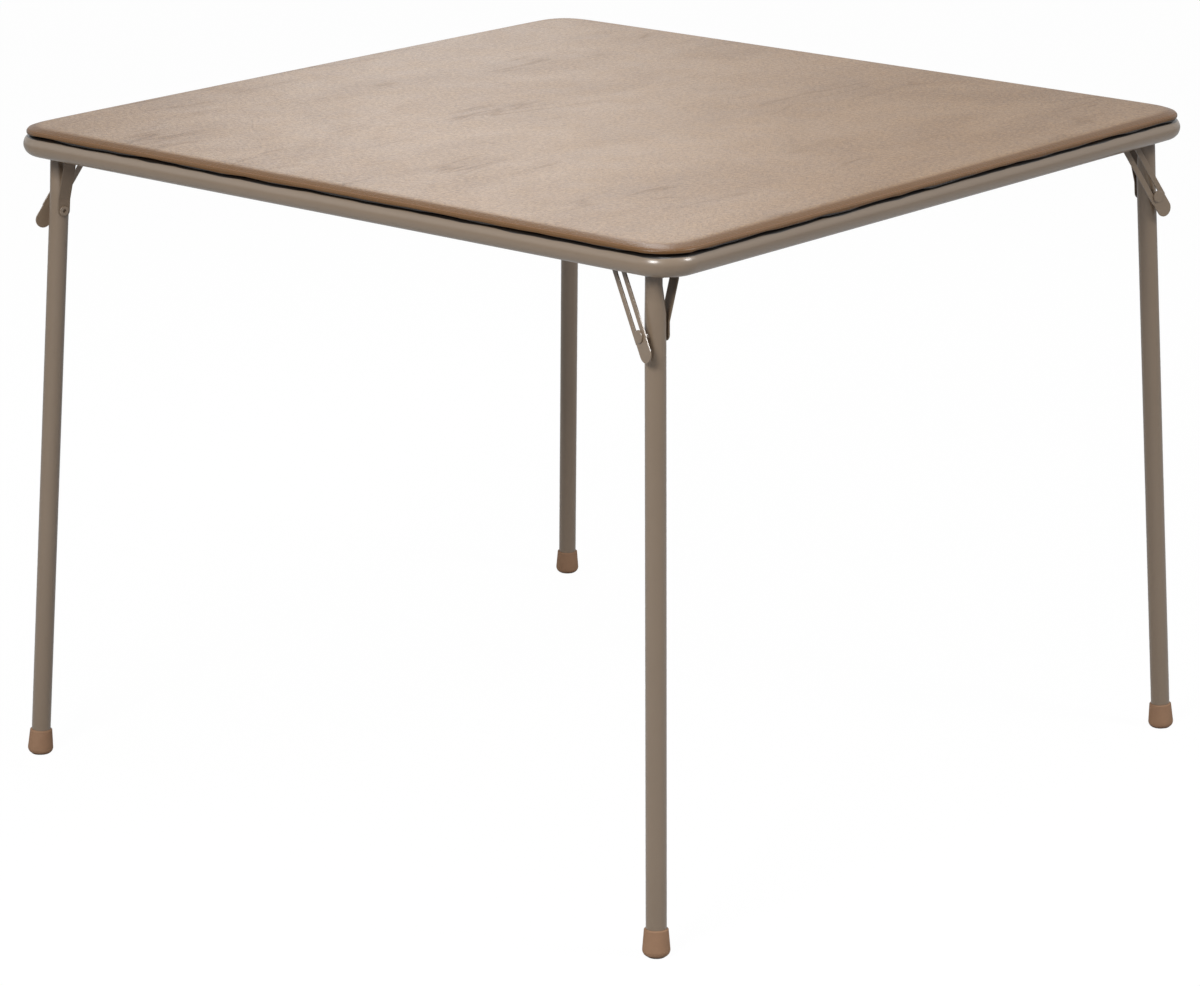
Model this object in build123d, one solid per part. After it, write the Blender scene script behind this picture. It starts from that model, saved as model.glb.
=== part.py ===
from build123d import *
import os
from math import acos, atan2, cos, degrees, radians, sin, sqrt

# A square folding card table. Its padded vinyl top lies on a ring of bent steel tube, and four
# tube legs fold under it. Millimetres, Z up, origin on the floor under the middle of the top.
# The near corner of the table is at plus X, minus Y. It is modelled once, and the other three
# corners are quarter turns of it.

# Frame ring
frame_width = 965.2
frame_tube_diameter = 25.4
frame_tube_wall = 1.2
frame_bend_radius = 30.0
frame_axis_height = 734.1

# Padded top
pad_setback = 1.6
pad_corner_radius = 47.0
pad_top_round = 7.0
pad_bottom_round = 0.8
cover_thickness = 1.0
cover_hem_width = 40.0
board_thickness = 4.0
foam_thickness = 3.0

# Staples that hold the hem of the cover under the board
staple_crown = 11.0
staple_wire = 0.7
staple_depth = 3.0
staple_pitch = 55.0
staple_hem_margin = 6.0
staple_end_margin = 120.0

# Screws that hold the board on the frame
screw_diameter = 4.0
screw_head_diameter = 8.0
screw_head_height = 2.2
screw_bite = 3.0
screw_access_diameter = 9.5
screw_edge_inset = 10.0
frame_screw_spacing = 420.0
pilot_clearance = 0.05

# Leg tube: where its axis meets the height of the frame's axis, and how far its foot stands out
leg_diameter = 22.2
leg_wall = 1.2
leg_inset_along = 48.6
leg_inset_across = 36.6
leg_splay_along = 35.0
leg_splay_across = 34.0
fold_plane_turn = 16.5
pivot_drop = 13.0
tang_width = 23.2
tang_depth = 15.0
tang_offset = 2.0
tang_length = 14.0
tang_taper_length = 30.0

# Rubber foot tip
foot_rim_diameter = 26.0
foot_widest_diameter = 29.6
foot_sole_diameter = 20.0
foot_height = 30.0
foot_widest_height = 7.5
foot_sole_thickness = 5.0
foot_rim_round = 1.2
foot_grip = 0.05

# Strap that braces the leg sideways, from the post up to the pivot bolt
strap_width = 14.5
strap_thickness = 1.6
strap_flat_length = 13.0
strap_eye_length = 9.0
strap_spread = 23.1

# Slotted lock brace
brace_reach = 82.0
brace_angle = 31.0
brace_width = 21.0
brace_thickness = 1.6
brace_edge_round = 0.3
brace_offset = 18.0
slot_width = 8.0
slot_end_gap = 7.0
slot_stud_clearance = 0.25
finger_tab_width = 19.5
finger_tab_reach = 28.6
finger_tab_shoulder = 5.0

# Post on the leg and lock stud in the slot
stud_drop = 78.0
post_diameter = 6.0
collar_diameter = 8.0
eyelet_diameter = 11.5
eyelet_height = 1.5
eyelet_bore = 4.4
eyelet_bore_depth = 3.0
stud_head_diameter = 13.5
stud_head_height = 1.7
stud_head_chamfer = 0.4

# Corner bracket with two pivot ears and one brace ear
bracket_thickness = 2.0
bracket_long_side = 100.0
bracket_short_side = 74.0
bracket_land = 31.0
bracket_corner_round = 4.0
pivot_ear_width = 16.0
brace_ear_width = 18.0
brace_ear_offset = 14.0

# Pivot bolt, its nut and sleeve, and the rivet at the top of the brace
bolt_diameter = 6.0
bolt_head_diameter = 10.0
bolt_head_height = 1.5
nut_across_flats = 10.0
nut_height = 4.0
bolt_end_length = 1.5
sleeve_diameter = 10.0
rivet_diameter = 5.0
rivet_head_diameter = 11.0
rivet_head_height = 1.5
spacer_diameter = 10.0

# Clearances: between faces that pass each other, round moving pins, and between fixed neighbours
running_gap = 0.3
side_play = 0.5
pin_clearance = 0.1
fixed_clearance = 0.05
cut_overrun = 5.0

CORNERS = ("near", "right", "far", "left")
QUARTER_TURN = 90.0

# Width and heights of the top, from the outside and the crown of the frame tube
frame_tube_radius = frame_tube_diameter / 2
frame_axis_half = frame_width / 2 - frame_tube_radius
pad_width = frame_width - 2 * pad_setback
pad_bottom = frame_axis_height + frame_tube_radius
board_bottom = pad_bottom + cover_thickness
board_top = board_bottom + board_thickness
foam_top = board_top + foam_thickness
pad_top = foam_top + cover_thickness

# Directions at the near corner: down the leg, towards the fold, and outwards from the fold plane
leg_top = Vector(
    frame_width / 2 - leg_inset_along, leg_inset_across - frame_width / 2, frame_axis_height
)
foot_centre = Vector(leg_top.X + leg_splay_along, leg_top.Y - leg_splay_across, 0)
down_leg = (foot_centre - leg_top).normalized()
fold_heading = Vector(-cos(radians(fold_plane_turn)), sin(radians(fold_plane_turn)), 0)
outward = fold_heading.cross(down_leg).normalized()
toward_fold = down_leg.cross(outward).normalized()
pivot = leg_top + down_leg * pivot_drop
fold_plane = Plane(origin=pivot, x_dir=toward_fold, z_dir=outward)

# Places in the fold plane: x towards the fold, y down the leg, z outwards, from the leg's pivot
leg_radius = leg_diameter / 2
stud_reach = stud_drop - pivot_drop
floor_reach = (foot_centre - pivot).length
brace_pivot_x = brace_reach * sin(radians(brace_angle))
brace_pivot_y = stud_reach - brace_reach * cos(radians(brace_angle))
tang_outer = tang_offset + tang_depth / 2
tang_inner = tang_offset - tang_depth / 2
strap_face = leg_radius + fixed_clearance
eye_face = strap_spread - strap_thickness / 2
brace_direction = Vector(-sin(radians(brace_angle)), cos(radians(brace_angle)), 0)
brace_plane = Plane(
    origin=(brace_pivot_x, brace_pivot_y, brace_offset), x_dir=brace_direction, z_dir=(0, 0, 1)
)
fold_angle = degrees(acos(fold_heading.dot(down_leg)))

# Faces of the two pivot ears, measured outwards from the leg's axis
outer_ear_face = tang_inner - side_play
inner_ear_face = -(eye_face - side_play - bracket_thickness)


def disc(radius, low, high, centre=(0, 0)):
    """A round piece whose axis points outwards from the fold plane."""
    return Pos(centre[0], centre[1], low) * extrude(Circle(radius), high - low)


def placed(shape):
    """A piece modelled in the fold plane, moved to the near corner."""
    return fold_plane.location * shape


def round_end_plate(width, start, end, low, thickness):
    """A strip along y with a half-round end at each of its two centres."""
    length = end - start
    outline = Pos(0, (start + end) / 2) * Rectangle(width, length)
    outline += Pos(0, start) * Circle(width / 2)
    outline += Pos(0, end) * Circle(width / 2)
    return Pos(0, 0, low) * extrude(outline, thickness)


def below(shape, height):
    """The part of a placed piece that lies under a height."""
    keep = Pos(0, 0, height - frame_width) * Box(4 * frame_width, 4 * frame_width, 2 * frame_width)
    return shape & keep


def screw(x, y, seat, tip):
    """A pan-head screw that points up, with its head under the height of its seat."""
    shank = Pos(x, y, seat) * extrude(Circle(screw_diameter / 2), tip - seat)
    head_sketch = Circle(screw_head_diameter / 2)
    head = Pos(x, y, seat - screw_head_height) * extrude(head_sketch, screw_head_height)
    rim = head.edges().group_by(Axis.Z)[0]
    return shank + fillet(rim, screw_head_height / 2)


def pilot_hole(x, y, low, high):
    """The hole that a screw passes through, in whatever piece it crosses."""
    hole = Circle(screw_diameter / 2 + pilot_clearance)
    return Pos(x, y, low) * extrude(hole, high - low)


def frame_screw_places():
    """Two screws on each side of the ring."""
    across = frame_screw_spacing / 2
    near_side = [(-across, -frame_axis_half), (across, -frame_axis_half)]
    return [turned_place(place, k) for k in range(len(CORNERS)) for place in near_side]


def turned_place(place, k):
    """A place in plan after k quarter turns."""
    x, y = place
    for _ in range(k):
        x, y = -y, x
    return (x, y)


def web_screw_places():
    """Two screws in each corner bracket, one near each end of it."""
    edge = web_edge()
    long_end = (edge - bracket_long_side + 2 * screw_edge_inset, screw_edge_inset - edge)
    short_end = (edge - screw_edge_inset, bracket_short_side - 2 * screw_edge_inset - edge)
    return [turned_place(place, k) for k in range(len(CORNERS)) for place in (long_end, short_end)]


def web_edge():
    """Half the width across the webs, whose lower edges rest against the frame tube."""
    chord = sqrt(frame_tube_radius**2 - (frame_tube_radius - bracket_thickness) ** 2)
    return frame_axis_half - chord - fixed_clearance


def tube_section():
    """The wall of the frame tube, at the end of the near side where the bend starts."""
    bend_start = frame_axis_half - frame_bend_radius
    end = Plane(origin=(bend_start, -frame_axis_half, frame_axis_height), z_dir=(1, 0, 0))
    return end * (Circle(frame_tube_radius) - Circle(frame_tube_radius - frame_tube_wall))


def make_frame_sides():
    """The four straight tubes of the ring, drilled above for the screws and below for the driver."""
    side = extrude(tube_section(), -2 * (frame_axis_half - frame_bend_radius))
    access = extrude(Circle(screw_access_diameter / 2), frame_tube_diameter)
    for x in (-frame_screw_spacing / 2, frame_screw_spacing / 2):
        side -= pilot_hole(x, -frame_axis_half, frame_axis_height, pad_bottom + cut_overrun)
        side -= Pos(x, -frame_axis_half, frame_axis_height - frame_tube_diameter) * access
    return Compound(children=[Rot(0, 0, k * QUARTER_TURN) * side for k in range(len(CORNERS))])


def make_frame_bends():
    """The four bent tubes, welded to the ends of the straight ones."""
    bend_start = frame_axis_half - frame_bend_radius
    bend_axis = Axis((bend_start, -bend_start, frame_axis_height), (0, 0, 1))
    bend = revolve(tube_section(), bend_axis, QUARTER_TURN)
    return Compound(children=[Rot(0, 0, k * QUARTER_TURN) * bend for k in range(len(CORNERS))])


def rounded_slab(width, corner, low, high):
    return Pos(0, 0, low) * extrude(RectangleRounded(width, width, corner), high - low)


def pad_core():
    """The space inside the cover, filled by the board and the foam."""
    inner_width = pad_width - 2 * cover_thickness
    core = rounded_slab(inner_width, pad_corner_radius - cover_thickness, board_bottom, foam_top)
    top_edges = core.edges().group_by(Axis.Z)[-1]
    return fillet(top_edges, pad_top_round - cover_thickness)


def screw_holes_through(shape):
    """Pilot holes of all the screws, in a piece of the top."""
    tip = board_bottom + screw_bite
    for x, y in frame_screw_places() + web_screw_places():
        shape -= pilot_hole(x, y, pad_bottom - cut_overrun, tip + pilot_clearance)
    return shape


def make_top_board():
    return screw_holes_through(pad_core() & rounded_slab(pad_width, pad_corner_radius, 0, board_top))


def make_foam_pad():
    return pad_core() - rounded_slab(pad_width, pad_corner_radius, 0, board_top)


def make_vinyl_cover():
    """One sheet that wraps the edge of the top and ends in a hem under the board."""
    cover = rounded_slab(pad_width, pad_corner_radius, pad_bottom, pad_top)
    cover = fillet(cover.edges().group_by(Axis.Z)[-1], pad_top_round)
    cover = fillet(cover.edges().group_by(Axis.Z)[0], pad_bottom_round)
    hem_opening = pad_width - 2 * cover_hem_width
    hem_corner = pad_corner_radius / 2
    cover -= pad_core()
    cover -= rounded_slab(hem_opening, hem_corner, pad_bottom - cut_overrun, board_bottom)
    return screw_holes_through(cover)


def make_cover_staples():
    """A row of wire staples along each side of the hem, away from the brackets."""
    row_inset = pad_width / 2 - cover_hem_width + staple_hem_margin
    row_length = 2 * (frame_axis_half - staple_end_margin)
    count = int(row_length // staple_pitch) + 1
    start = -(count - 1) * staple_pitch / 2
    prong_top = board_bottom + staple_depth
    crown = Box(staple_crown, staple_wire, staple_wire)
    prong_length = prong_top - pad_bottom + staple_wire
    prong = Box(staple_wire, staple_wire, prong_length)
    prong_x = (staple_crown - staple_wire) / 2
    prong_z = prong_top - prong_length / 2
    one = Pos(0, 0, pad_bottom - staple_wire / 2) * crown
    one += Pos(-prong_x, 0, prong_z) * prong
    one += Pos(prong_x, 0, prong_z) * prong
    row = [Pos(start + i * staple_pitch, -row_inset, 0) * one for i in range(count)]
    staples = [Rot(0, 0, k * QUARTER_TURN) * staple for k in range(len(CORNERS)) for staple in row]
    return Compound(children=staples)


def make_frame_screws():
    """Screws whose heads bear on the inside of the tube's upper wall."""
    bore_radius = frame_tube_radius - frame_tube_wall
    seat = frame_axis_height + sqrt(bore_radius**2 - (screw_head_diameter / 2) ** 2) - fixed_clearance
    tip = board_bottom + screw_bite
    return Compound(children=[screw(x, y, seat, tip) for x, y in frame_screw_places()])


def make_bracket_screws():
    seat = pad_bottom - bracket_thickness
    tip = board_bottom + screw_bite
    return Compound(children=[screw(x, y, seat, tip) for x, y in web_screw_places()])


def bracket_web():
    """The flat gusset under the board, cut to the inside of the frame's corner."""
    edge = web_edge()
    corner_inset = frame_axis_half - edge
    reach = RectangleRounded(2 * edge, 2 * edge, frame_bend_radius - corner_inset)
    outline = Polygon(
        (edge, -edge),
        (edge, bracket_short_side - edge),
        (edge - bracket_land, bracket_short_side - edge),
        (edge - bracket_long_side, bracket_land - edge),
        (edge - bracket_long_side, -edge),
        align=None,
    )
    inner_corners = outline.vertices().sort_by_distance((edge, -edge, 0))[1:]
    outline = fillet(inner_corners, bracket_corner_round)
    plate = extrude(outline & reach, bracket_thickness)
    return Pos(0, 0, pad_bottom - bracket_thickness) * plate


def ear(width, centre_x, centre_y, low):
    """A plate that hangs from the web, with a half-round end about its pin."""
    rise = pad_bottom - pivot.Z + centre_y + frame_tube_diameter
    plate = round_end_plate(width, -rise, 0, 0, bracket_thickness)
    plate = placed(Pos(centre_x, centre_y, low) * plate)
    return below(plate, pad_bottom - bracket_thickness / 2)


def make_bracket():
    ears = ear(pivot_ear_width, 0, 0, outer_ear_face - bracket_thickness)
    ears += ear(pivot_ear_width, 0, 0, inner_ear_face - bracket_thickness)
    brace_ear = ear(brace_ear_width, brace_pivot_x, brace_pivot_y, brace_ear_offset)
    body = bracket_web() + ears + brace_ear
    bolt_hole = disc(bolt_diameter / 2 + fixed_clearance, -leg_diameter * 2, leg_diameter * 2)
    rivet_hole = disc(
        rivet_diameter / 2 + fixed_clearance,
        brace_ear_offset - bracket_thickness,
        brace_ear_offset + 2 * bracket_thickness,
        (brace_pivot_x, brace_pivot_y),
    )
    body = body - placed(bolt_hole) - placed(rivet_hole)
    for x, y in web_screw_places():
        body -= pilot_hole(x, y, pad_bottom - 2 * bracket_thickness, pad_bottom + cut_overrun)
    return body


def leg_section(distance, radius_x, radius_z, offset):
    """An oval across the leg, at a distance down from the pivot."""
    across = Plane(origin=(0, distance, offset), x_dir=(1, 0, 0), z_dir=(0, 1, 0))
    return across * Ellipse(radius_x, radius_z)


def leg_bar(shrink, top, bottom):
    """The outside of the leg, drawn in all round by a wall, from a pressed top to a round end."""
    half_width = tang_width / 2 - shrink
    half_depth = tang_depth / 2 - shrink
    radius = leg_radius - shrink
    round_start = tang_length + tang_taper_length
    pressed = leg_section(top, half_width, half_depth, tang_offset)
    bar = extrude(pressed, tang_length - top)
    tang_end = leg_section(tang_length, half_width, half_depth, tang_offset)
    tube_start = leg_section(round_start, radius, radius, 0)
    bar += loft([tang_end.face(), tube_start.face()])
    bar += extrude(tube_start, bottom - round_start)
    return bar


def make_leg_tube():
    bottom = floor_reach - foot_sole_thickness - fixed_clearance
    top = -tang_width / 2
    leg = leg_bar(0, top, bottom) - leg_bar(leg_wall, top - cut_overrun, bottom + cut_overrun)
    past_end = Pos(0, -tang_width) * Rectangle(2 * tang_width, 2 * tang_width)
    past_end -= Circle(tang_width / 2)
    leg -= Pos(0, 0, -tang_width) * extrude(past_end, 2 * tang_width)
    leg -= disc(bolt_diameter / 2 + pin_clearance, -tang_width, tang_width)
    leg -= disc(post_diameter / 2 + fixed_clearance, -tang_width, tang_width, (0, stud_reach))
    return placed(leg)


def leg_lean():
    """How far the leg leans, as run over rise."""
    return sqrt(leg_splay_along**2 + leg_splay_across**2) / frame_axis_height


def make_foot_tip():
    """A rubber cup that flares towards the floor and is flat where it stands."""
    rim = floor_reach - foot_height
    widest = floor_reach - foot_widest_height
    bore = leg_radius + foot_grip
    seat = floor_reach - foot_sole_thickness
    end = floor_reach + foot_rim_diameter * leg_lean()
    with BuildSketch() as profile:
        with BuildLine():
            Polyline(
                (0, end),
                (0, seat),
                (bore, seat),
                (bore, rim),
                (foot_rim_diameter / 2 - foot_rim_round, rim),
            )
            Line(
                (foot_rim_diameter / 2 - foot_rim_round, rim),
                (foot_rim_diameter / 2, rim + foot_rim_round),
            )
            swell = Line(
                (foot_rim_diameter / 2, rim + foot_rim_round), (foot_widest_diameter / 2, widest)
            )
            TangentArc(
                (foot_widest_diameter / 2, widest),
                (foot_sole_diameter / 2, floor_reach),
                tangent=swell % 1,
            )
            Line((foot_sole_diameter / 2, floor_reach), (foot_sole_diameter / 2, end))
            Line((foot_sole_diameter / 2, end), (0, end))
        make_face()
    foot = placed(revolve(profile.sketch, Axis.Y))
    half = frame_axis_height / 2
    above_floor = Pos(0, 0, half) * Box(2 * frame_width, 2 * frame_width, 2 * half)
    return foot & above_floor


def make_leg_strap():
    """A flat strap that lies on the leg at the post and spreads inwards to its own eye."""
    half_width = strap_width / 2
    flat_start = stud_reach - strap_flat_length
    near_leg = -strap_face
    at_eye = -eye_face
    side = Polygon(
        (-half_width, at_eye),
        (strap_eye_length, at_eye),
        (flat_start, near_leg),
        (stud_reach + half_width, near_leg),
        (stud_reach + half_width, near_leg - strap_thickness),
        (flat_start, near_leg - strap_thickness),
        (strap_eye_length, at_eye - strap_thickness),
        (-half_width, at_eye - strap_thickness),
        align=None,
    )
    bent = extrude(Plane.YZ * side, half_width, both=True)
    plan = round_end_plate(strap_width, 0, stud_reach, -2 * strap_spread, 4 * strap_spread)
    strap = bent & plan
    strap -= disc(bolt_diameter / 2 + pin_clearance, -2 * strap_spread, 0)
    hole_radius = post_diameter / 2 + fixed_clearance
    strap -= disc(hole_radius, -2 * strap_spread, 0, (0, stud_reach))
    return placed(strap)


def make_brace_post():
    """A rivet through leg and strap: an eyelet inside, and outside a collar that backs the brace."""
    centre = (0, stud_reach)
    strap_back = strap_face + strap_thickness
    collar_end = brace_offset - running_gap
    post = disc(post_diameter / 2, -strap_back, collar_end, centre)
    collar = disc(collar_diameter / 2, 0, collar_end, centre)
    leg_round = Plane(origin=(0, 0, 0), x_dir=(1, 0, 0), z_dir=(0, 1, 0)) * Circle(strap_face)
    collar -= extrude(leg_round, 2 * stud_reach)
    eyelet = disc(eyelet_diameter / 2, -strap_back - eyelet_height, -strap_back, centre)
    rim = eyelet.edges().filter_by(GeomType.CIRCLE).sort_by(Axis.Z)[0]
    post += collar
    post += fillet(rim, eyelet_height / 2)
    bore_low = -strap_back - 2 * eyelet_height
    bore_high = -strap_back - eyelet_height + eyelet_bore_depth
    post -= disc(eyelet_bore / 2, bore_low, bore_high, centre)
    return placed(post)


def make_lock_brace():
    """The slotted strip: round at its pivot, with a narrower finger tab past the stud."""
    tab_end = brace_reach + finger_tab_reach - finger_tab_width / 2
    strip_end = brace_reach + finger_tab_shoulder
    outline = Circle(brace_width / 2)
    outline += Pos(strip_end / 2, 0) * Rectangle(strip_end, brace_width)
    outline += Pos(tab_end / 2, 0) * Rectangle(tab_end, finger_tab_width)
    outline += Pos(tab_end, 0) * Circle(finger_tab_width / 2)
    slot_start = slot_end_gap + slot_width / 2
    slot_centre = (slot_start + brace_reach) / 2
    outline -= Pos(slot_centre, 0) * SlotCenterToCenter(brace_reach - slot_start, slot_width)
    outline -= Circle(rivet_diameter / 2 + pin_clearance)
    brace = extrude(outline, brace_thickness)
    levels = brace.edges().group_by(Axis.Z)
    return placed(brace_plane * fillet(levels[0] + levels[-1], brace_edge_round))


def make_lock_stud():
    """The flat head that the brace hooks behind, and its short neck in the slot."""
    face = brace_thickness + running_gap
    neck = extrude(Circle(slot_width / 2 - slot_stud_clearance), face)
    head = Pos(0, 0, face) * extrude(Circle(stud_head_diameter / 2), stud_head_height)
    rim = head.edges().group_by(Axis.Z)[-1]
    stud = neck + chamfer(rim, stud_head_chamfer)
    return placed(brace_plane * (Pos(brace_reach, 0, 0) * stud))


def make_pivot_bolt():
    """The bolt that the pressed end of the leg and the eye of the strap turn on."""
    head_seat = tang_outer + running_gap
    tip = eye_face + strap_thickness + running_gap + nut_height + bolt_end_length
    bolt = disc(bolt_diameter / 2, -tip, head_seat)
    head = disc(bolt_head_diameter / 2, head_seat, head_seat + bolt_head_height)
    rim = head.edges().group_by(Axis.Z)[-1]
    return placed(bolt + fillet(rim, bolt_head_height / 2))


def make_pivot_nut():
    inner_face = eye_face + strap_thickness + running_gap
    hexagon = RegularPolygon(nut_across_flats / 2, 6, major_radius=False)
    hexagon -= Circle(bolt_diameter / 2 + fixed_clearance)
    nut = Pos(0, 0, -inner_face - nut_height) * extrude(hexagon, nut_height)
    return placed(nut)


def make_pivot_sleeve():
    """The distance tube between the two pivot ears."""
    low = inner_ear_face + fixed_clearance
    high = outer_ear_face - bracket_thickness - fixed_clearance
    sleeve = disc(sleeve_diameter / 2, low, high)
    return placed(sleeve - disc(bolt_diameter / 2 + fixed_clearance, low, high))


def make_brace_rivet():
    centre = (brace_pivot_x, brace_pivot_y)
    inner_seat = brace_ear_offset
    outer_seat = brace_offset + brace_thickness + running_gap
    rivet = disc(rivet_diameter / 2, inner_seat, outer_seat, centre)
    outer_head = disc(rivet_head_diameter / 2, outer_seat, outer_seat + rivet_head_height, centre)
    outer_rim = outer_head.edges().group_by(Axis.Z)[-1]
    inner_head = disc(rivet_head_diameter / 2, inner_seat - rivet_head_height, inner_seat, centre)
    inner_rim = inner_head.edges().group_by(Axis.Z)[0]
    rivet += fillet(outer_rim, rivet_head_height / 2)
    rivet += fillet(inner_rim, rivet_head_height / 2)
    return placed(rivet)


def make_brace_spacer():
    """The washer that holds the brace off its ear."""
    centre = (brace_pivot_x, brace_pivot_y)
    low = brace_ear_offset + bracket_thickness + fixed_clearance
    high = brace_offset - running_gap
    washer = disc(spacer_diameter / 2, low, high, centre)
    return placed(washer - disc(rivet_diameter / 2 + fixed_clearance, low, high, centre))


def motion():
    """Joint places and couplings at the near corner, for the record."""
    stud = Vector(0, stud_reach, brace_offset)
    brace_pin = Vector(brace_pivot_x, brace_pivot_y, brace_offset)
    swing = radians(fold_angle)
    folded = Vector(stud_reach * sin(swing), stud_reach * cos(swing), brace_offset)
    folded_arm = folded - brace_pin
    brace_swing = degrees(atan2(folded_arm.X, folded_arm.Y)) + brace_angle
    stud_travel = brace_reach - folded_arm.length
    hinge_axis = outward * -1
    slide_axis = (brace_pin - stud).normalized()
    slide_world = toward_fold * slide_axis.X + down_leg * slide_axis.Y
    brace_pin_world = pivot + toward_fold * brace_pin.X + down_leg * brace_pin.Y
    brace_pin_world += outward * brace_pin.Z
    return {
        "pivot": pivot,
        "hinge_axis": hinge_axis,
        "brace_pin": brace_pin_world,
        "slide_axis": slide_world,
        "fold_angle": fold_angle,
        "brace_swing": brace_swing,
        "stud_travel": stud_travel,
    }


FIXED_PIECES = {
    "frame_sides": make_frame_sides,
    "frame_bends": make_frame_bends,
    "top_board": make_top_board,
    "foam_pad": make_foam_pad,
    "vinyl_cover": make_vinyl_cover,
    "cover_staples": make_cover_staples,
    "frame_screws": make_frame_screws,
    "bracket_screws": make_bracket_screws,
}

CORNER_PIECES = {
    "bracket": make_bracket,
    "pivot_bolt": make_pivot_bolt,
    "pivot_nut": make_pivot_nut,
    "pivot_sleeve": make_pivot_sleeve,
    "brace_rivet": make_brace_rivet,
    "brace_spacer": make_brace_spacer,
    "leg_tube": make_leg_tube,
    "leg_strap": make_leg_strap,
    "brace_post": make_brace_post,
    "foot_tip": make_foot_tip,
    "lock_brace": make_lock_brace,
    "lock_stud": make_lock_stud,
}

os.makedirs("parts", exist_ok=True)

for name, make in FIXED_PIECES.items():
    export_step(make(), f"parts/{name}.step")

for name, make in CORNER_PIECES.items():
    piece = make()
    for k, corner in enumerate(CORNERS):
        turned = Rot(0, 0, k * QUARTER_TURN) * piece
        export_step(turned, f"parts/{name}_{corner}.step")

for label, value in motion().items():
    print(label, value)
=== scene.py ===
import math

import bmesh
import bpy
from mathutils import Matrix, Quaternion, Vector


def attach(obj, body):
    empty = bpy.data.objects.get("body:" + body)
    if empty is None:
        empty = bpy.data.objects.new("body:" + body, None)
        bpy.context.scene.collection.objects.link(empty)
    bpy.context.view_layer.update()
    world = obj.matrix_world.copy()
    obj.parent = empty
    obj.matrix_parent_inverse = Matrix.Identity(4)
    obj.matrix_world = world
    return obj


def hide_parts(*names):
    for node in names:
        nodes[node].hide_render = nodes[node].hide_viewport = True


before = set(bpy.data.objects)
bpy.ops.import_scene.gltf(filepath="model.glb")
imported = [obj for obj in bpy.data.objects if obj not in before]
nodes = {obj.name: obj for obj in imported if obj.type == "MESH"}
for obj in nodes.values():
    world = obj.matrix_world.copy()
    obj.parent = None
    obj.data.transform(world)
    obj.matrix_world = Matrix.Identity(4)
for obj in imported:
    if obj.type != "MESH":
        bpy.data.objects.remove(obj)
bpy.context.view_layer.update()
bpy.ops.object.select_all(action="DESELECT")


# The table stands on a seamless white studio floor under soft boxes. The camera is about four
# metres from the near corner, one metre above the top, with a long lens.
lens_place = Vector((3.0537, -3.6650, 1.7065))
turn, dip, roll = (math.radians(a) for a in (39.899, 16.362, 0.159))
lens_length = 127.036
sensor = 36.0
view_depth = 60.0
ahead = Vector((-math.sin(turn) * math.cos(dip), math.cos(turn) * math.cos(dip), -math.sin(dip)))
level = Vector((math.cos(turn), math.sin(turn), 0))
over = level.cross(ahead)
across = level * math.cos(roll) + over * math.sin(roll)
above = over * math.cos(roll) - level * math.sin(roll)
aim = Matrix((across, above, -ahead)).transposed()
bpy.ops.object.camera_add(location=lens_place, rotation=aim.to_euler())
camera = bpy.context.object
camera.name = "camera"
camera.data.lens = lens_length
camera.data.sensor_width = sensor
camera.data.sensor_fit = "HORIZONTAL"
camera.data.clip_end = view_depth
bpy.context.scene.camera = camera
bpy.context.scene.view_settings.view_transform = "Standard"


class Value:
    """The output of a shader node, which can stand in a sum."""

    def __init__(self, finish, socket):
        self.finish = finish
        self.socket = socket

    def math(self, operation, *others, clamp=False):
        values = (self,) + others
        settings = {"operation": operation, "use_clamp": clamp}
        return self.finish.node("ShaderNodeMath", settings, dict(enumerate(values)))

    def __add__(self, other):
        return self.math("ADD", other)

    def __radd__(self, other):
        return self.math("ADD", other)

    def __mul__(self, other):
        return self.math("MULTIPLY", other)

    def __rmul__(self, other):
        return self.math("MULTIPLY", other)

    def __sub__(self, other):
        return self.math("SUBTRACT", other)

    def __rsub__(self, other):
        settings = {"operation": "SUBTRACT"}
        return self.finish.node("ShaderNodeMath", settings, {0: other, 1: self})


class Finish:
    """The nodes of one material, or of the studio's surroundings."""

    def __init__(self, owner):
        owner.use_nodes = True
        self.tree = owner.node_tree
        self.tree.nodes.clear()

    def node(self, kind, settings=None, inputs=None, output=0):
        """A new node with its settings, and then the values or links of its sockets."""
        made = self.tree.nodes.new(kind)
        for name, value in (settings or {}).items():
            setattr(made, name, value)
        for name, value in (inputs or {}).items():
            if isinstance(value, Value):
                self.tree.links.new(value.socket, made.inputs[name])
            else:
                made.inputs[name].default_value = value
        return Value(self, made.outputs[output]) if made.outputs else None


def light_rays(finish):
    """1 for light that goes to the camera, that a glossy surface mirrors, or that goes through glass."""
    kinds = ("Is Camera Ray", "Is Glossy Ray", "Is Transmission Ray")
    return [finish.node("ShaderNodeLightPath", output=kind) for kind in kinds]


world = bpy.data.worlds.new("studio_air")
bpy.context.scene.world = world
air = Finish(world)
white = (1, 1, 1, 1)
room_light = 0.22
glossy_light = 0.66
seen, mirrored, through = light_rays(air)
strength = room_light + mirrored * (glossy_light - room_light) + (seen + through) * (1 - room_light)
surround = air.node("ShaderNodeBackground", inputs={"Color": white, "Strength": strength})
air.node("ShaderNodeOutputWorld", inputs={"Surface": surround})

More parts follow.
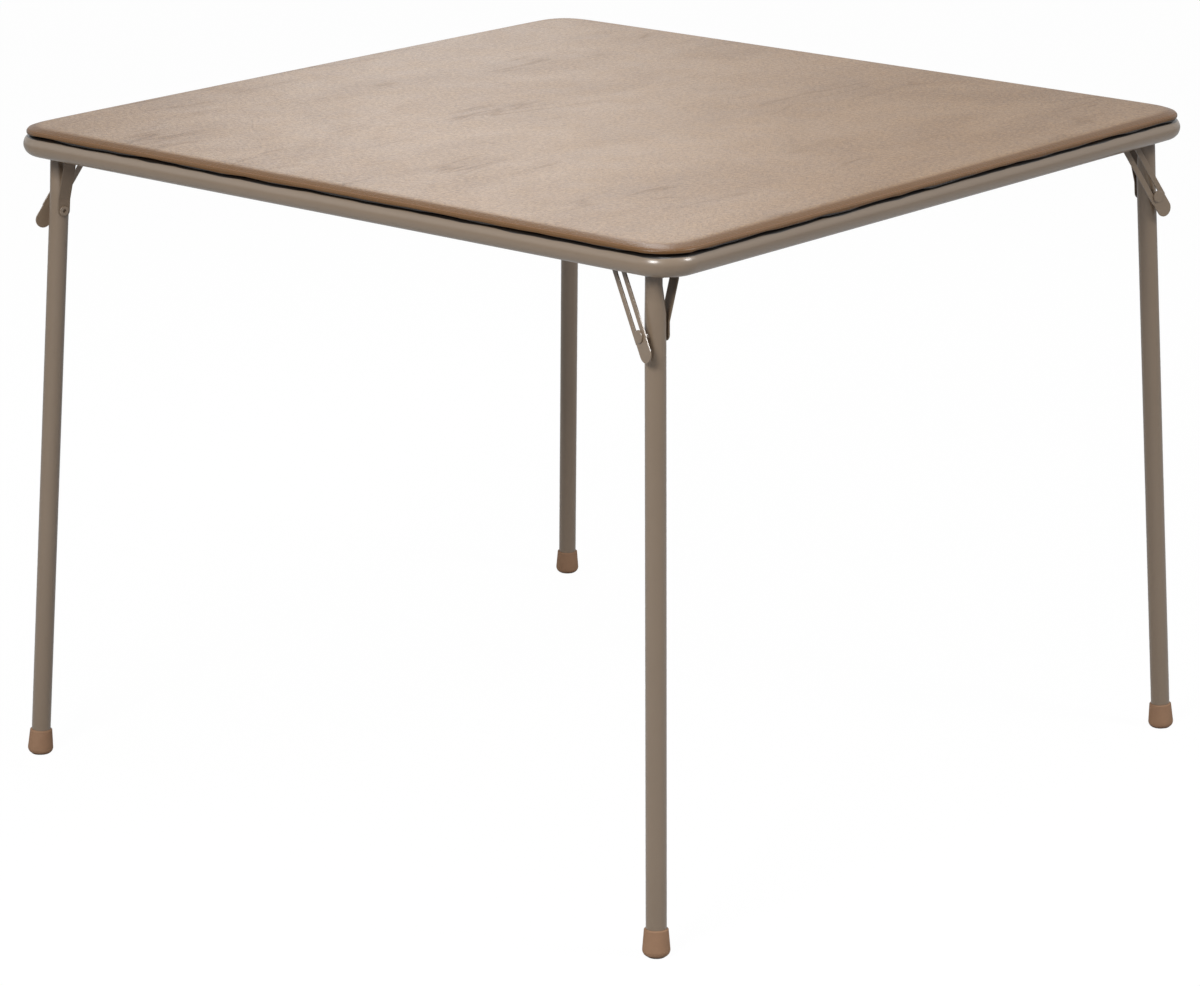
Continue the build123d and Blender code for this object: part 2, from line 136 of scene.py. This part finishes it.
floor_width = 30.0
floor_grey = (0.52, 0.52, 0.52, 1)
floor_glow = 1.05
glow_seen = 0.93
glow_mirrored = 0.20
bpy.ops.mesh.primitive_grid_add(x_subdivisions=8, y_subdivisions=8, size=floor_width, location=(0, 0, 0))
floor = bpy.context.object
floor.name = "studio_floor"
bpy.ops.object.transform_apply()
floor_paint = bpy.data.materials.new("floor_paint")
paper = Finish(floor_paint)
seen, mirrored, through = light_rays(paper)
matt = paper.node("ShaderNodeBsdfDiffuse", inputs={"Color": floor_grey})
glow = paper.node("ShaderNodeEmission", inputs={"Color": white, "Strength": floor_glow})
glow_share = (seen + through) * glow_seen + mirrored * glow_mirrored
sheet = paper.node("ShaderNodeMixShader", inputs={0: glow_share, 1: matt, 2: glow})
# seen from below, the floor is clear
below = paper.node("ShaderNodeNewGeometry", output="Backfacing")
clear = paper.node("ShaderNodeBsdfTransparent")
sheet = paper.node("ShaderNodeMixShader", inputs={0: below, 1: sheet, 2: clear})
paper.node("ShaderNodeOutputMaterial", inputs={"Surface": sheet})
floor.data.materials.append(floor_paint)

# name, place, point that it faces, width and height, turn on its own axis, watts
soft_boxes = (
    ("left_box", (0.76, -3.35, 2.85), (0.2, -0.2, 0.5), (1.2, 1.2), 0, 80.0),
    ("right_box", (2.85, 1.00, 2.85), (0.2, -0.2, 0.5), (0.9, 0.9), 0, 40.0),
    ("overhead_box", (-0.10, 0.10, 1.90), (-0.17, 0.17, 0.75), (0.35, 2.2), 0, 9.0),
    ("back_box", (-1.80, 1.67, 1.60), (0.0, 0.0, 0.75), (1.15, 1.15), 45, 4.0),
    ("left_panel", (-2.60, -2.60, 2.00), (0.0, 0.0, 0.75), (2.6, 2.0), 0, 6.0),
)
for name, place, target, (width, height), spin, watts in soft_boxes:
    heading = (Vector(target) - Vector(place)).to_track_quat("-Z", "Y")
    heading = heading @ Quaternion((0, 0, 1), math.radians(spin))
    bpy.ops.object.light_add(type="AREA", location=place, rotation=heading.to_euler())
    box = bpy.context.object
    box.name = name
    box.visible_camera = False
    box.data.shape = "RECTANGLE"
    box.data.size = width
    box.data.size_y = height
    box.data.energy = watts


# A sheet of embossed vinyl, stretched over thin foam and a board. It wraps round the edge and
# ends in a hem that is stapled to the underside.
top_width = 0.962
top_corner = 0.047
top_height = 0.7558
top_underside = 0.7468
swell = 0.0016
slack_height = top_height - swell
top_edge_round = 0.005
shoulder = 0.016
shoulder_drop = 0.0026
hem_edge_round = 0.0008
hem_width = 0.040
vinyl_thickness = 0.0007
hem_wave = 0.006
hem_wave_length = 0.05
rim_height = 0.0015
cell_width = 0.018
cells_each_way = 25
shoulder_rings = (0.002, 0.002, 0.0025, 0.003, 0.0035, 0.005)
foam_pressure = 8.0
cloth_steps = 20
tolerance = 1e-5


def srgb(red, green, blue):
    """A colour read from a screen, as the shader's linear values."""
    parts = [c / 255 for c in (red, green, blue)]
    parts = [c / 12.92 if c <= 0.04045 else ((c + 0.055) / 1.055) ** 2.4 for c in parts]
    return (*parts, 1.0)


vinyl_tan = srgb(140, 107, 73)
vinyl_pale = srgb(170, 137, 101)
vinyl_dark = srgb(122, 91, 61)
# painted shade in the creases, and the darker tone of the grain's furrows
vinyl_crease_shade_and_grain = srgb(92, 66, 44)
# painted shade: the rounded side edge is darker and browner than the top, standing in for the light and
# sheen it misses
vinyl_side_shade = srgb(108, 72, 28)
# painted shade: the near-black colour, and its heights, of the crevice where the vinyl's hem meets the
# ring
groove_shade_colour = srgb(26, 20, 16)
unshaded_above = 0.7478
shaded_below = 0.7472
shaded_past = 0.458


def shape(piece):
    """The piece's mesh, in edit mode, with nothing selected."""
    bpy.context.view_layer.objects.active = piece
    bpy.ops.object.mode_set(mode="EDIT")
    bpy.ops.mesh.select_all(action="DESELECT")
    return bmesh.from_edit_mesh(piece.data)


def pick(piece, kind, test):
    """Selects the vertices, edges or faces that pass the test."""
    cells = shape(piece)
    bpy.ops.mesh.select_mode(type=kind)
    group = {"VERT": cells.verts, "EDGE": cells.edges, "FACE": cells.faces}[kind]
    for cell in group:
        if test(cell):
            cell.select_set(True)
    cells.select_flush_mode()
    bmesh.update_edit_mesh(piece.data)


def at_height(cell, height):
    """Whether all corners of the edge or face are at this height."""
    return all(abs(v.co.z - height) < tolerance for v in cell.verts)


def rises(edge):
    """Whether one end of the edge is higher than the other."""
    return abs(edge.verts[0].co.z - edge.verts[1].co.z) > tolerance


def done(piece, smooth=None):
    """Back to object mode, with the piece's place put into its mesh."""
    bpy.ops.object.mode_set(mode="OBJECT")
    bpy.ops.object.select_all(action="DESELECT")
    piece.select_set(True)
    bpy.ops.object.transform_apply()
    if smooth is not None:
        bpy.ops.object.shade_smooth_by_angle(angle=math.radians(smooth))
    piece.select_set(False)


bpy.ops.mesh.primitive_cube_add(
    size=1,
    location=(0, 0, (slack_height + top_underside) / 2),
    scale=(top_width, top_width, slack_height - top_underside),
)
vinyl_top = bpy.context.object
vinyl_top.name = "vinyl_top"
bpy.ops.object.transform_apply()
pick(vinyl_top, "EDGE", rises)
bpy.ops.mesh.bevel(offset=top_corner, segments=28, profile=0.5)
pick(vinyl_top, "EDGE", lambda e: at_height(e, slack_height))
bpy.ops.mesh.bevel(offset=top_edge_round, segments=9, profile=0.5)
pick(vinyl_top, "EDGE", lambda e: at_height(e, top_underside))
bpy.ops.mesh.bevel(offset=hem_edge_round, segments=3, profile=0.5)
pick(vinyl_top, "FACE", lambda f: at_height(f, top_underside))
bpy.ops.mesh.inset(thickness=hem_width - hem_edge_round)
bpy.ops.mesh.delete(type="FACE")
pick(vinyl_top, "FACE", lambda f: at_height(f, slack_height))
for ring_width in shoulder_rings:
    bpy.ops.mesh.inset(thickness=ring_width)
marks = [cell_width * k for k in range(-cells_each_way, cells_each_way + 1)]
for turned in ((1, 0, 0), (0, 1, 0)):
    for mark in marks:
        bpy.ops.mesh.select_all(action="SELECT")
        bpy.ops.mesh.bisect(plane_co=[mark * c for c in turned], plane_no=turned)
done(vinyl_top)
# the foam presses the sheet up, all but its rounded edge and hem; only the lift is kept
free_above = slack_height - 0.0001
held = vinyl_top.vertex_groups.new(name="held")
held.add([v.index for v in vinyl_top.data.vertices if v.co.z < free_above], 1.0, "REPLACE")
cloth = vinyl_top.modifiers.new("cloth", "CLOTH")
cloth.settings.vertex_group_mass = "held"
cloth.settings.use_pressure = True
cloth.settings.uniform_pressure_force = foam_pressure
cloth.settings.effector_weights.gravity = 0.0
for step in range(1, cloth_steps + 1):
    bpy.context.scene.frame_set(step)
swollen = vinyl_top.evaluated_get(bpy.context.evaluated_depsgraph_get())
lifts = [a.co.z - b.co.z for a, b in zip(swollen.data.vertices, vinyl_top.data.vertices)]
vinyl_top.modifiers.remove(cloth)
bpy.context.scene.frame_set(1)
# pulled tight round the edge, the sheet presses the foam down into a soft shoulder
straight = top_width / 2 - top_corner
for vertex, lift in zip(vinyl_top.data.vertices, lifts):
    x, y, z = vertex.co
    inward = top_corner - math.hypot(max(abs(x) - straight, 0), max(abs(y) - straight, 0))
    near_edge = max(1 - inward / shoulder, 0)
    up = min(max((z - slack_height) / top_edge_round + 1, 0), 1)
    vertex.co.z += swell * math.tanh(lift / swell) - shoulder_drop * near_edge ** 2 * up
done(vinyl_top, smooth=40)
low_edge = []
for vertex in vinyl_top.data.vertices:
    x, y, z = vertex.co
    if z < top_underside + rim_height and max(abs(x), abs(y)) > top_width / 2 - rim_height:
        low_edge.append(vertex.index)
rim = vinyl_top.vertex_groups.new(name="rim")
rim.add(low_edge, 1.0, "REPLACE")
uneven = bpy.data.textures.new("uneven_pull", "CLOUDS")
uneven.noise_scale = hem_wave_length
pull = vinyl_top.modifiers.new("pull", "DISPLACE")
pull.texture = uneven
pull.texture_coords = "GLOBAL"
pull.direction = "Z"
pull.strength = hem_wave
pull.vertex_group = "rim"
sheet_wall = vinyl_top.modifiers.new("wall", "SOLIDIFY")
sheet_wall.thickness = vinyl_thickness
sheet_wall.offset = -1
bpy.context.view_layer.objects.active = vinyl_top
bpy.ops.object.modifier_apply(modifier="pull")
bpy.ops.object.modifier_apply(modifier="wall")


def new_finish(name):
    """A new material, its nodes, and the places on the piece that its patterns follow."""
    material = bpy.data.materials.new(name)
    finish = Finish(material)
    return material, finish, finish.node("ShaderNodeTexCoord", output="Object")


def surface(finish, inputs):
    """The one surface that a material shows."""
    body = finish.node("ShaderNodeBsdfPrincipled", None, inputs)
    finish.node("ShaderNodeOutputMaterial", None, {"Surface": body})


def bump(finish, strength, depth, height):
    settings = {"Strength": strength, "Distance": depth, "Height": height}
    return finish.node("ShaderNodeBump", None, settings)


def height_on(finish, coordinates):
    return finish.node("ShaderNodeSeparateXYZ", inputs={0: coordinates}, output="Z")


def cloud(finish, coordinates, scale, detail=4.0, roughness=0.55, distortion=0.0):
    """Soft noise with the middle at 0.5. The scale is its cells per metre."""
    inputs = {"Vector": coordinates, "Scale": scale, "Detail": detail,
              "Roughness": roughness, "Distortion": distortion}
    return finish.node("ShaderNodeTexNoise", None, inputs)


def mix_colour(finish, share, first, second):
    """The first colour where the share is 0, the second where it is 1."""
    return finish.node("ShaderNodeMix", {"data_type": "RGBA"}, {0: share, 6: first, 7: second}, 2)


def between(value, low, high):
    """Rises from 0 to 1 as the value goes from low to high."""
    return (value - low).math("MULTIPLY", 1 / (high - low), clamp=True)


def groove_shade_mask(finish, coordinates, unshaded, shaded, inside):
    """Painted shade in the crevice between pad and ring: none at the unshaded height, full at the shaded
    one, and only past inside.
    """
    wander = 0.004
    fade = 0.001
    apart = {}
    for axis in "XYZ":
        apart[axis] = finish.node("ShaderNodeSeparateXYZ", inputs={0: coordinates}, output=axis)
    ripple = (cloud(finish, coordinates, 19.0, detail=1.0) - 0.5) * wander
    reach = apart["X"].math("ABSOLUTE").math("MAXIMUM", apart["Y"].math("ABSOLUTE"))
    return between(apart["Z"] + ripple, unshaded, shaded) * between(reach, inside, inside + fade)


crease_sharpness = 30.0
side_from = slack_height + 0.0012
side_full = slack_height + 0.0002
vinyl, skin, place = new_finish("embossed_vinyl")
drawn_out = skin.node("ShaderNodeMapping", None, {"Vector": place, "Scale": (1.0, 0.45, 1.0)})
patches = between(cloud(skin, drawn_out, 7.5, detail=5.0, roughness=0.6, distortion=0.8), 0.36, 0.62)
mottle = between(cloud(skin, place, 26.0, detail=3.0), 0.34, 0.66)
flecks = between(cloud(skin, place, 180.0, detail=4.0, roughness=0.7), 0.38, 0.62)
zones = between(cloud(skin, drawn_out, 10.0, detail=2.0), 0.53, 0.64)
stretched = skin.node("ShaderNodeMapping", None, {"Vector": place, "Scale": (1.0, 0.16, 1.0)})
crease_lines = cloud(skin, stretched, 24.0, detail=2.0, roughness=0.5, distortion=0.5)
crease_lines = (1 - (crease_lines - 0.5).math("ABSOLUTE") * crease_sharpness).math("MAXIMUM", 0.0)
creases = crease_lines * zones
# the band round the rounded edge, where the colour is painted shade and the coat is heavier
side = between(height_on(skin, place), side_from, side_full)
pebbles = skin.node("ShaderNodeTexVoronoi", {"feature": "F1"}, {"Vector": place, "Scale": 620.0})
grain = cloud(skin, place, 260.0, detail=4.0)
furrows = between(cloud(skin, place, 290.0, detail=2.0, roughness=0.6), 0.50, 0.62)
pale_share = mottle * 0.16 + flecks * 0.62
# the creases and the zones round them are darkened as painted shade; the furrows are the grain's darker
# tone
dark_share = zones * 0.12 + creases * 0.28 + furrows * 0.50
# painted shade along the hem's lower edge, in the crevice above the ring
groove_shade = groove_shade_mask(skin, place, unshaded_above, shaded_below, shaded_past)
tone = mix_colour(skin, patches, vinyl_dark, vinyl_tan)
tone = mix_colour(skin, pale_share, tone, vinyl_pale)
tone = mix_colour(skin, dark_share, tone, vinyl_crease_shade_and_grain)
tone = mix_colour(skin, side, tone, vinyl_side_shade)
tone = mix_colour(skin, groove_shade, tone, groove_shade_colour)
height = pebbles * 0.4 + grain * 0.5 - creases * 0.4 - furrows * 0.5
surface(skin, {
    "Base Color": tone,
    "Roughness": 0.40 + mottle * 0.04 - patches * 0.05 + creases * 0.08,
    "Normal": bump(skin, 0.65, 0.0005, height),
    "Coat Weight": 0.15 + side * 0.15,
    "Coat Roughness": 0.2,
})
vinyl_top.data.materials.append(vinyl)
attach(vinyl_top, "table_top")
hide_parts("vinyl_cover", "foam_pad")


# The ring, legs, brackets, straps and braces are steel, powder coated in a semi-gloss taupe
# after they are bent and pressed.
paint_taupe = srgb(148, 129, 109)
paint_shade = srgb(140, 121, 101)
# painted shade: the dark colour of the legs' and straps' upper ends, under the ring
paint_under_top_shade = srgb(72, 58, 47)
# heights and reach of painted shade on the ring's crest, in the crevice under the pad
ring_unshaded_below = 0.7425
ring_shaded_above = 0.7431
ring_shaded_past = 0.460


def coat(nodes_named, material):
    """Gives a finish to CAD nodes whose shape stays."""
    for name in nodes_named:
        slots = nodes[name].data.materials
        slots.clear()
        slots.append(material)


def powder_coat(name, shade_from=0.0, shade_to=1.0, shade_share=0.0, gloss=1.0):
    """Taupe powder coat, with painted shade that darkens it upwards between two heights, under the ring
    and top.
    """
    steel_paint, powder, place = new_finish(name)
    drift = cloud(powder, place, 9.0, detail=3.0)
    peel = cloud(powder, place, 420.0, detail=2.0)
    # painted shade, darker upwards towards the ring and top
    under_top_shade = between(height_on(powder, place), shade_from, shade_to)
    # painted shade on the ring's crest, in the crevice under the pad's hem
    groove_shade = groove_shade_mask(powder, place, ring_unshaded_below, ring_shaded_above, ring_shaded_past)
    tone = mix_colour(powder, drift, paint_shade, paint_taupe)
    tone = mix_colour(powder, under_top_shade * shade_share, tone, paint_under_top_shade)
    tone = mix_colour(powder, groove_shade, tone, groove_shade_colour)
    surface(powder, {
        "Base Color": tone,
        "Roughness": 0.32 + drift * 0.08 + (1 - gloss) * 0.15,
        "Normal": bump(powder, 0.08, 0.0002, peel),
        "Coat Weight": 0.9 * gloss,
        "Coat Roughness": 0.2,
    })
    return steel_paint


corners = ("near", "right", "far", "left")
ring_paint = powder_coat("ring_powder_coat")
# the legs and straps get painted shade towards their tops, under the ring
leg_paint = powder_coat("leg_powder_coat", shade_from=0.690, shade_to=0.722, shade_share=0.6)
strap_paint = powder_coat("strap_powder_coat", shade_from=0.60, shade_to=0.70, shade_share=0.45, gloss=0.1)
coat(["frame_sides", "frame_bends"], ring_paint)
for corner in corners:
    for kind in ("bracket", "leg_tube", "brace_post", "lock_brace", "lock_stud", "brace_rivet"):
        coat([f"{kind}_{corner}"], leg_paint)
    coat([f"leg_strap_{corner}"], strap_paint)


# The board that carries the foam is a sheet of bare pressed wood fibre, smooth on its lower
# face. The hem of the vinyl is stapled to it, and screws hold it to the ring and the brackets.
board_brown = srgb(122, 88, 60)
board_light = srgb(146, 108, 76)
hardboard, fibre, place = new_finish("hardboard")
flecks = cloud(fibre, place, 300.0, detail=5.0, roughness=0.7)
bands = cloud(fibre, place, 12.0, detail=3.0)
tone = mix_colour(fibre, flecks * 0.6 + bands * 0.4, board_brown, board_light)
surface(fibre, {
    "Base Color": tone,
    "Roughness": 0.5 + flecks * 0.2,
    "Normal": bump(fibre, 0.2, 0.0003, flecks),
})
coat(["top_board"], hardboard)


# The screws, pivot bolts, nuts, sleeves, washers and staples are small steel parts with a bright
# zinc plate. They hold the cover, the ring and the legs together, and most of them are hidden.
zinc_grey = srgb(150, 152, 154)
zinc_bright = srgb(190, 192, 194)
zinc_plate, plating, place = new_finish("zinc_plate")
spangle = cloud(plating, place, 500.0, detail=3.0)
tone = mix_colour(plating, spangle, zinc_grey, zinc_bright)
surface(plating, {"Base Color": tone, "Metallic": 1.0, "Roughness": 0.28 + spangle * 0.2})
fastened = ["cover_staples", "frame_screws", "bracket_screws"]
for kind in ("pivot_bolt", "pivot_nut", "pivot_sleeve", "brace_spacer"):
    fastened += [f"{kind}_{corner}" for corner in corners]
coat(fastened, zinc_plate)


# The foot tips are moulded cups of matt tan rubber. Each is pushed on the end of its leg, and
# it is darker towards its sole.
rubber_tan = srgb(174, 137, 108)
rubber_dark = srgb(157, 120, 92)
sole_dark = srgb(70, 52, 42)
sole_fade = 260.0
tan_rubber, rubber, place = new_finish("tan_rubber")
scuffs = cloud(rubber, place, 60.0, detail=5.0, roughness=0.6)
pores = cloud(rubber, place, 900.0, detail=2.0)
sole = (1 - height_on(rubber, place) * sole_fade).math("MAXIMUM", 0.0)
tone = mix_colour(rubber, scuffs, rubber_dark, rubber_tan)
tone = mix_colour(rubber, sole, tone, sole_dark)
surface(rubber, {
    "Base Color": tone,
    "Roughness": 0.62 + scuffs * 0.2,
    "Normal": bump(rubber, 0.25, 0.0003, pores + scuffs),
})
coat([f"foot_tip_{corner}" for corner in corners], tan_rubber)
